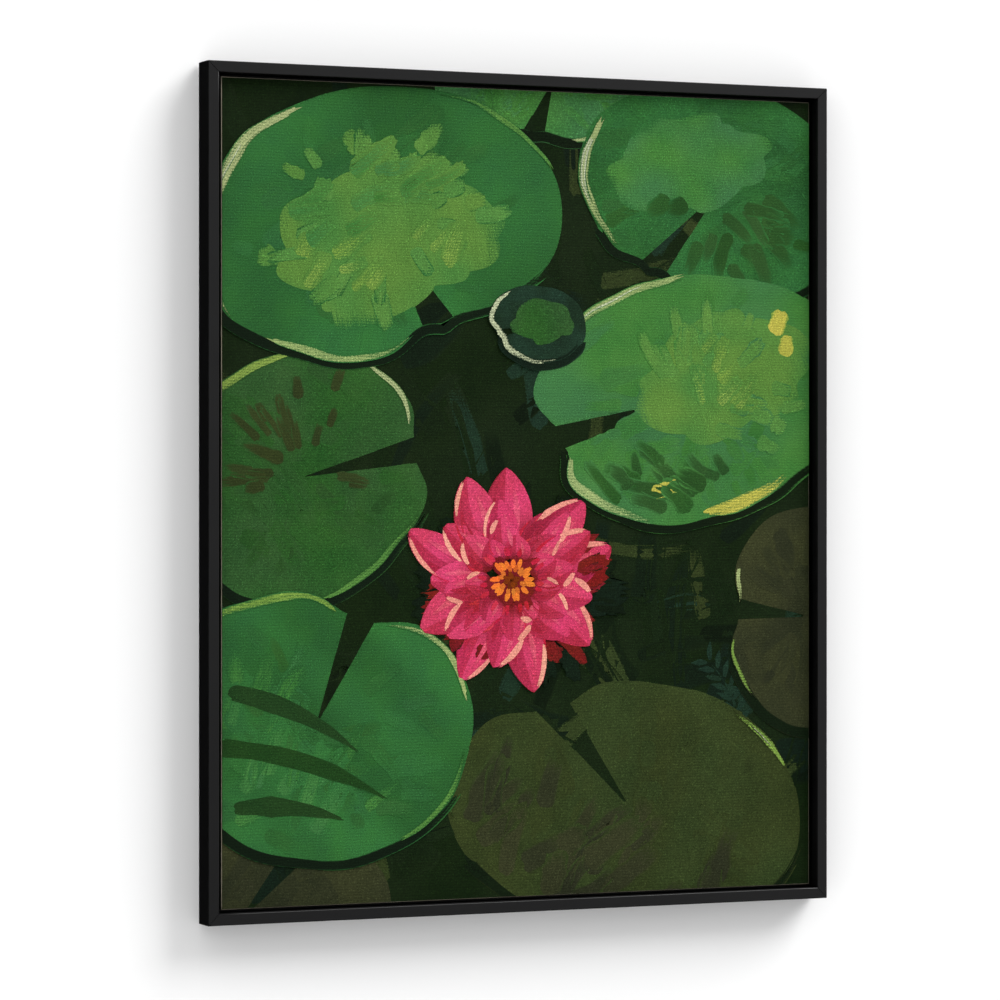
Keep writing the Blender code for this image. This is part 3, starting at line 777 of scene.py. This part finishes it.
dabs(big_left, "light", 26, (0, 360, 0.35, 0.66), RADIAL, 40, 16, 0.74, 0.2, lift=13)
dabs(big_left, "lime", 22, (200, 350, 0.1, 0.5), 0.9, 46, 15, 0.5, lift=16, under="light")
dabs(big_left, "leaf", 14, (20, 200, 0.1, 0.5), 0.4, 50, 16, 0.55, lift=16, under="light")
patch_of_light(big_right, "light", (34, 22), (92, 60), 20, 8)
dabs(big_right, "light", 22, (-60, 140, 0.3, 0.72), RADIAL, 38, 15, 0.74, 0.2, lift=13)
dabs(big_right, "lime", 12, (-20, 90, 0.1, 0.5), 1.2, 42, 13, 0.5, lift=16, under="light")
dabs(big_right, "shade", 18, (196, 300, 0.45, 0.85), 2.4, 50, 15, 0.72, lift=11)
patch_of_light(top_right, "leaf", (-30, 26), (84, 46), 10, 7)
dabs(top_right, "shade", 26, (200, 340, 0.3, 0.8), RADIAL, 46, 16, 0.72, lift=11)
dabs(old_left, "olive", 26, (-40, 200, 0.3, 0.85), RADIAL, 40, 9, 0.76, 0.1, lift=11)
dabs(low_left, "leaf", 26, (100, 330, 0.2, 0.8), 1.0, 60, 16, 0.55, lift=4)
dabs(olive, "bronze", 34, (150, 330, 0.1, 0.85), 0.9, 66, 20, 0.72, lift=7)
patch_of_light(young, "shade", (4, 2), (34, 22), 0, 5)
# Reeds out of sight throw three thin shadows over the lowest bright leaf
for x0, z0, way, size in ((-306, -180, -0.42, 150), (-318, -232, -0.30, 190), (-300, -290, -0.12, 120)):
    path = arc_path(x0 * MM, z0 * MM, way, size * MM, -0.5)
    brush_stroke(
        leaves, path, 17 * MM, mixed("shade") * 0.55, low_left.tone(*path[20]), low_left.height + 12 * COAT, load=0.9,
        ragged=0.06, taper=(0.9, 1, 0.8, 0.15)
    )
leaves.finish()

# Leaf, from, to, width in mm, paint and share of the way out, for each stroke round a rim
RIMS = [
    (big_left, 118, 226, 13, "cream", 0.965), (big_left, 140, 205, 6, "pale", 0.975),
    (big_left, 232, 288, 9, "cream", 0.97), (big_left, 20, 74, 6, "light", 0.98),
    (big_right, 204, 262, 12, "cream", 0.965), (big_right, 96, 168, 10, "cream", 0.97),
    (big_right, 112, 150, 5, "pale", 0.98), (big_right, 276, 318, 17, "yellow", 0.93),
    (top_right, 140, 222, 12, "cream", 0.955), (top_right, 152, 196, 8, "pale", 0.96),
    (top_right, 244, 300, 8, "lime", 0.97), (old_left, 96, 160, 9, "lime", 0.97),
    (old_left, 24, 70, 6, "cream", 0.975), (old_left, 280, 345, 7, "light", 0.97),
    (low_left, 76, 150, 9, "lime", 0.97), (low_left, 10, 60, 7, "cream", 0.975),
    (low_left, 300, 352, 6, "light", 0.975), (young, 120, 300, 7, "pale", 0.94),
    (bronze, 150, 172, 6, "cream", 0.97), (bronze, 190, 232, 5, "lime", 0.975),
    (olive, 18, 52, 8, "lime", 0.975), (olive, 28, 44, 5, "pale", 0.98), (olive, 150, 190, 4, "light", 0.98),
    (top, 280, 340, 6, "cream", 0.96), (corner, 70, 110, 5, "light", 0.97),
]
for pad, start, stop, width, name, share in RIMS:
    rim_stroke(rims, pad, start, stop, width, name, share, load=0.61, ragged=0.19, taper=(0.5, 1, 0.9, 0.4))
# Two blots of yellow light on the big right leaf, and weed under the water at the lower right
for x0, z0, way, size, wide in ((262, 150, 1.2, 34, 20), (276, 128, 1.5, 30, 16), (128, 0, 0.3, 40, 15)):
    path = arc_path(x0 * MM, z0 * MM, way, size * MM, 0.4)
    brush_stroke(rims, path, wide * MM, mixed("yellow"), mixed("lime"), big_right.height + 11 * COAT, load=0.72)
for stem in range(5):
    x0, z0, way = (206 + 22 * stem) * MM, (-262 + 17 * stem) * MM, 2.5 - 0.55 * stem
    path = arc_path(x0, z0, way, 90 * MM, 0.9)
    brush_stroke(rims, path, 5 * MM, mixed("teal"), mixed("deep"), 3 * COAT, load=0.9, taper=(1, 0.6, 0.2))
    for leaf in range(8, 40, 5):
        for turn in (0.8, -0.8):
            side = arc_path(*path[leaf], way + turn + 0.9 * (leaf / 40 - 0.5), 24 * MM, 0.5 * turn)
            brush_stroke(rims, side, 7 * MM, mixed("teal"), mixed("deep"), 4 * COAT, load=0.85, taper=(0.4, 1, 0.15))
rims.finish()

# %% [markdown]
# ## The flower
# A water lily is seen from above as rings of pointed petals, each ring shorter than the one under it. A petal
# is a grid: s runs from base to tip and v from side to side, and its half width goes as s^0.6 (1 - s)^0.8,
# which is blunt at the base and pointed at the tip. One half is in shade. Salmon strokes catch the tips.

# %% Flower
PINKS = {
    "pink": ("#d23b62", "#cb3a5c", "#d8466a"),
    "magenta": ("#ac2339", "#99213a", "#b32b45"),
    "crimson": ("#771f14", "#731619", "#821d26"),
    "red": ("#c8203f", "#cf3b4a", "#b81c36"),
    "salmon": ("#f19d87", "#e2857b", "#f3ab93"),
    "orange": ("#f4782e", "#e8742c", "#f2902f"),
    "amber": ("#d26b2b", "#c2581c", "#dd8130"),
    "brown": ("#8d3e06", "#7a3408", "#6b2a0c"),
}
PAINTS.update({name: np.array([linear(c)[:3] for c in shades]) for name, shades in PINKS.items()})
FLOWER = np.array([-14, -82]) * MM
SQUASH = 0.88  # the flower is seen a little from the side
flower = PaintLayer("paint_flower")


def outward(way):
    """The direction way as it is seen on the flower."""
    return np.array([math.cos(way), SQUASH * math.sin(way)])


def petal_point(base, way, length, width, bend, s, v):
    """The point a share s of the way from base to tip, and v half widths to one side."""
    half = width / 2 * s**0.6 * (1 - s) ** 0.8 / 0.375
    turned = way + bend * s
    x = base[0] + s * length * np.cos(turned) - v * half * np.sin(turned)
    z = base[1] + (s * length * np.sin(turned) + v * half * np.cos(turned)) * SQUASH
    return x, z


def petal(height, radius, way, length, width):
    """One petal whose base lies the given radius from the flower's middle."""
    bend = 0.16 * random.normal()
    base = FLOWER + radius * outward(way)
    s, v = np.meshgrid(
        np.linspace(0, 1, 26), [-1, -0.97, -0.85, -0.6, -0.18, -0.12, 0.3, 0.6, 0.85, 0.97, 1], indexing="ij"
    )
    shaded = -1 if math.sin(way - 0.7) > 0 else 1
    x, z = petal_point(base, way, length, width, bend, s, v * shaded)
    lit, dark, deep = mixed("pink"), mixed("magenta"), mixed("crimson")
    tone = blend(lit, 0.30 * lit + 0.70 * dark, v < -0.15)
    tone = blend(tone, deep, np.clip(1.25 - s / 0.42, 0, 1) ** 1.2)
    lift = np.full(s.shape, height)
    lift[:, [0, -1]] = lift[[0, -1], :] = DIP
    worn = 0.98 - 0.42 * np.clip(np.abs(v) / 0.14 - 6, 0, 1) - 0.25 * s**8
    flower.patch(x, z, lift, tone, deep, worn, s * length, v * width / 2)
    t = np.linspace(0.10, 0.72, 30)
    facet = np.stack(petal_point(base, way, length, width, bend, t, -0.62 * shaded), -1)
    brush_stroke(flower, facet, 0.24 * width, dark, lit, height + 2 * COAT, 0.8, taper=(0.4, 1, 0.2))
    glow = np.stack(petal_point(base, way, length, width, bend, t + 0.1, 0.35 * shaded), -1)
    warm = 0.85 * lit + 0.15 * mixed("salmon")
    brush_stroke(flower, glow, 0.16 * width, warm, lit, height + 2 * COAT, 0.65, taper=(0.3, 1, 0.3))
    if random.uniform() < 0.8:
        edge = np.linspace(random.uniform(0.30, 0.60), 0.985, 30)
        side = random.choice([-1, 1])
        line = np.stack(petal_point(base, way, length, width, bend, edge, 0.88 * side), -1)
        brush_stroke(
            flower, line, random.uniform(3.6, 6.4) * MM, mixed("salmon"), lit, height + 3 * COAT, 0.80,
            taper=(0.3, 1, 1, 0.6)
        )
    if random.uniform() < 0.6:
        edge = np.linspace(0.12, 0.6, 30)
        line = np.stack(petal_point(base, way, length, width, bend, edge, 0.95), -1)
        brush_stroke(flower, line, 3.5 * MM, mixed("red"), deep, height + 3 * COAT, 0.85, taper=(1, 1, 0.2))


ABOVE_LEAVES = 80 * COAT
for _ in range(34):  # the flower's shade on the water, and the ragged red beneath it
    way = random.uniform(0, 2 * math.pi)
    name, reach = ("crimson", 62) if random.uniform() < 0.6 else ("deep", 76)
    start = FLOWER + (outward(way) * reach + [5, -8]) * MM
    path = arc_path(*start, way + 0.3 * random.normal(), random.uniform(26, 46) * MM, 0.4 * random.normal())
    lift = ABOVE_LEAVES + (0 if name == "deep" else 2 * COAT)
    brush_stroke(flower, path, random.uniform(12, 20) * MM, mixed(name), mixed("deep"), lift, 0.8, ragged=0.3)
# Petals, tip radius, length and width in mm, and the first petal's direction, for each ring
RINGS = [(9, 116, 86, 45, 0.10), (9, 92, 68, 40, 0.42), (8, 70, 48, 34, 0.12), (7, 52, 32, 28, 0.50)]
for ring, (count, tip, length, width, first) in enumerate(RINGS):
    order = random.permutation(count)
    for place, i in enumerate(order):
        way = first + 2 * math.pi * i / count + random.normal() * 0.09
        size = length * random.uniform(0.9, 1.1) * MM
        height = ABOVE_LEAVES + (4 + 7 * ring + 5 * place / count) * COAT
        petal(height, (tip - length) * MM, way, size, width * random.uniform(0.9, 1.1) * MM)
HEART = ABOVE_LEAVES + 34 * COAT


def ring_of_dabs(count, radius, length, width, name, height):
    """Short strokes pointing outwards from the heart of the flower."""
    for i in range(count):
        way = 2 * math.pi * i / count + 0.12 * random.normal()
        start = FLOWER + radius * MM * outward(way)
        path = arc_path(*start, way + 0.15 * random.normal(), length * random.uniform(0.8, 1.25) * MM, 0.2)
        brush_stroke(
            flower, path, width * MM, mixed(name), mixed("crimson"), HEART + height * COAT, 0.9, taper=(0.7, 1, 0.5)
        )


ring_of_dabs(14, 0, 30, 13, "crimson", 0)
ring_of_dabs(15, 24, 13, 5, "red", 2)
ring_of_dabs(17, 10, 14, 5.6, "orange", 4)
ring_of_dabs(13, 7, 10, 4.6, "amber", 6)
ring_of_dabs(9, 0, 9, 5.5, "brown", 8)
flower.finish()

# %% [markdown]
# ## Behind the picture
# From behind, the picture shows how it is put together. The bars and the brace are planed pine, whose rings
# show as lines that run along each piece; the corner keys are beech, harder and plainer. The wire of the
# staples and nails, the screws and the hangers are bright zinc, and the two bumpers are black rubber.

# %% Wood, metal and rubber behind
def planed_wood(name, grain_axis, early, late, ring, fleck):
    """Wood with its grain along an axis: rings are drawn out 40 times longer than they are wide."""
    material, shader, node = new_material(name, Roughness=0.55)
    place = node("TexCoord").outputs["Object"]
    stretch = [1 / 40 if axis == grain_axis else 1 for axis in "XYZ"]
    drawn_out = node("Mapping", {"Vector": place, "Scale": stretch})
    rings = node("TexNoise", {"Vector": drawn_out, "Scale": 1 / ring, "Detail": 4, "Distortion": 0.6})
    fibres = node("TexNoise", {"Vector": drawn_out, "Scale": 1 / fleck, "Detail": 2})
    lines = node("MapRange", {"Value": rings, "From Min": 0.46, "From Max": 0.60}, interpolation_type="SMOOTHSTEP")
    tone = node("Mix", {0: lines, 6: linear(early), 7: linear(late)}, data_type="RGBA")
    value = node("MapRange", {"Value": fibres, "To Min": 0.88, "To Max": 1.10})
    varied = node("HueSaturation", {"Color": tone, "Value": value})
    link(varied, shader, "Base Color")
    bump = node("Bump", {"Height": fibres, "Strength": 0.3, "Distance": 0.1 * MM})
    link(bump, shader, "Normal")
    return material


def mottled(name, size, dark, light, detail, gloss=None, **sockets):
    """A finish that drifts between two tones, and perhaps two roughnesses, in patches of the given size."""
    material, shader, node = new_material(name, **sockets)
    place = node("TexCoord").outputs["Object"]
    patches = node("TexNoise", {"Vector": place, "Scale": 1 / size, "Detail": detail})
    link(node("Mix", {0: patches, 6: linear(dark), 7: linear(light)}, data_type="RGBA"), shader, "Base Color")
    if gloss:
        link(node("MapRange", {"Value": patches, "To Min": gloss[0], "To Max": gloss[1]}), shader, "Roughness")
    return material


PINE = ("#e3c592", "#c99a5c", 7 * MM, 0.9 * MM)  # early wood, late wood, ring width, fibre width
pine_across = planed_wood("planed pine, grain across", "X", *PINE)
pine_upright = planed_wood("planed pine, grain upright", "Z", *PINE)
beech = planed_wood("planed beech", "X", "#d9ad7e", "#c08f60", 3 * MM, 0.6 * MM)
zinc = mottled("bright zinc-plated steel", 2.5 * MM, "#b4b8bb", "#d4d6d3", 3, (0.28, 0.46), Metallic=1.0)
rubber = mottled("moulded black rubber", 4 * MM, "#191919", "#2b2b2a", 4, Roughness=0.78)
KINDS = {
    "stretcher_bar_top": pine_across, "stretcher_bar_bottom": pine_across, "cross_brace": pine_across,
    "stretcher_bar_": pine_upright, "corner_key": beech, "wall_bumper": rubber, "staple": zinc,
    "joint_nail": zinc, "screw": zinc, "sawtooth": zinc, "hanger_tack": zinc,
}
dressed = 0
for item in bpy.data.objects:
    kind = next((start for start in KINDS if item.name.startswith(start)), None)
    if kind and item.type == "MESH" and item.name in frame["nodes"]:
        for slot in item.material_slots:
            slot.material = KINDS[kind]
        dressed += 1
print("CAD pieces given a finish:", dressed)

# %% [markdown]
# ## Wall, light and camera
# The picture hangs on a pale wall in soft light that comes from above and the right.

# %% Stage
scene = bpy.context.scene
scene.view_settings.view_transform = "Standard"
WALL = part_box("wall_bumper_left")[1].y
FLOOR = -0.95  # the picture's middle hangs this high over the floor
ROOM = 6.0


def backdrop(name, corners, material):
    """A stage surface that is seen, but that neither lights the picture nor shades it."""
    item = bpy.data.objects.new(name, mesh_of(name, np.array(corners), np.array([[0, 1, 2, 3]])))
    item.data.materials.append(material)
    scene.collection.objects.link(item)
    for ray in ("diffuse", "glossy", "transmission", "volume_scatter", "shadow"):
        setattr(item, f"visible_{ray}", False)


def one_sided(name, **sockets):
    """A matt finish that is solid from the room and clear from behind, so that the picture's back and
    underside can be looked at."""
    material, shader, node = new_material(name, **sockets)
    behind = node("NewGeometry").outputs["Backfacing"]
    clear = node("BsdfTransparent")
    either = node("MixShader", {0: behind, 1: shader, 2: clear})
    link(either, material.node_tree.nodes["Material Output"], "Surface")
    return material


wall_paint = one_sided("matt white wall paint", Roughness=0.95, Base_Color=(0.93, 0.93, 0.93, 1))
backdrop("wall", [(-ROOM, WALL, FLOOR), (ROOM, WALL, FLOOR), (ROOM, WALL, 4), (-ROOM, WALL, 4)], wall_paint)
floor_paint = one_sided("matt pale floor", Roughness=0.9, Base_Color=(0.90, 0.90, 0.89, 1))
backdrop(
    "floor", [(-ROOM, -ROOM, FLOOR), (ROOM, -ROOM, FLOOR), (ROOM, ROOM, FLOOR), (-ROOM, ROOM, FLOOR)], floor_paint
)

world = bpy.data.worlds.new("soft white room")
scene.world = world
world.use_nodes = True
world.cycles.sampling_method = "NONE"  # so that mirrored light is always known as such
room = world.node_tree
for node in list(room.nodes):
    room.nodes.remove(node)
sky = partial(add, world)

# The wall's soft shadows come from light that skims it: radiance a + b (1 - |y|)^2, with a little more of it
# from above and from the left. What mirrors in the lacquer is darker, and black to the left.
direction = sky("SeparateXYZ", {0: sky("TexCoord").outputs["Generated"]})
frontal = sky("Math", {0: direction.outputs["Y"]}, operation="ABSOLUTE")
skimming = sky("Math", {0: 1.0, 1: frontal}, operation="SUBTRACT")
skimming = sky("Math", {0: skimming, 1: 2.0}, operation="POWER")
fill = sky("Math", {0: skimming, 1: 3.08, 2: 0.336}, operation="MULTIPLY_ADD")
for axis, share in (("Z", 0.274), ("X", -0.326)):
    fill = sky("Math", {0: direction.outputs[axis], 1: share, 2: fill}, operation="MULTIPLY_ADD")
faced = sky("MapRange", {"Value": frontal, "From Min": 0.1, "From Max": 0.7, "To Max": 0.37})
right = sky("MapRange", {"Value": direction.outputs["X"], "From Min": -0.05, "From Max": 0.45})
faced = sky("Math", {0: faced, 1: right}, operation="MULTIPLY")
up = sky(
    "MapRange", {"Value": direction.outputs["Z"], "From Min": -0.4, "From Max": 0.4, "To Min": 0.6, "To Max": 1.4}
)
mirror = sky("Math", {0: faced, 1: up}, operation="MULTIPLY")
ray = sky("LightPath")
seen = sky("Mix", {0: ray.outputs["Is Glossy Ray"], 2: fill, 3: mirror})
plain = sky("Mix", {0: ray.outputs["Is Camera Ray"], 2: seen, 3: 1.0})
background = sky("Background", {"Color": (1, 1, 1, 1), "Strength": plain})
sky("OutputWorld", {"Surface": background})

key = bpy.data.lights.new("key light", "SUN")
key.energy, key.angle = 3.92, math.radians(38)
key.specular_factor = 0.03
key_light = bpy.data.objects.new("key light", key)
towards = Vector((0.634, -0.277, 0.722))
key_light.rotation_euler = towards.to_track_quat("Z", "Y").to_euler()
scene.collection.objects.link(key_light)

AZIMUTH, DISTANCE = math.radians(-24.5266), 3.8365
data = bpy.data.cameras.new("camera")
data.sensor_width, data.lens = 36, 146.53
camera = bpy.data.objects.new("camera", data)
camera.location = (math.sin(AZIMUTH) * DISTANCE, frame_low.y - math.cos(AZIMUTH) * DISTANCE, 0)
yaw, pitch = math.radians(0.3974), math.radians(-0.0948)
camera.rotation_euler = (math.pi / 2 + pitch, 0, AZIMUTH + yaw)
scene.collection.objects.link(camera)
scene.camera = camera
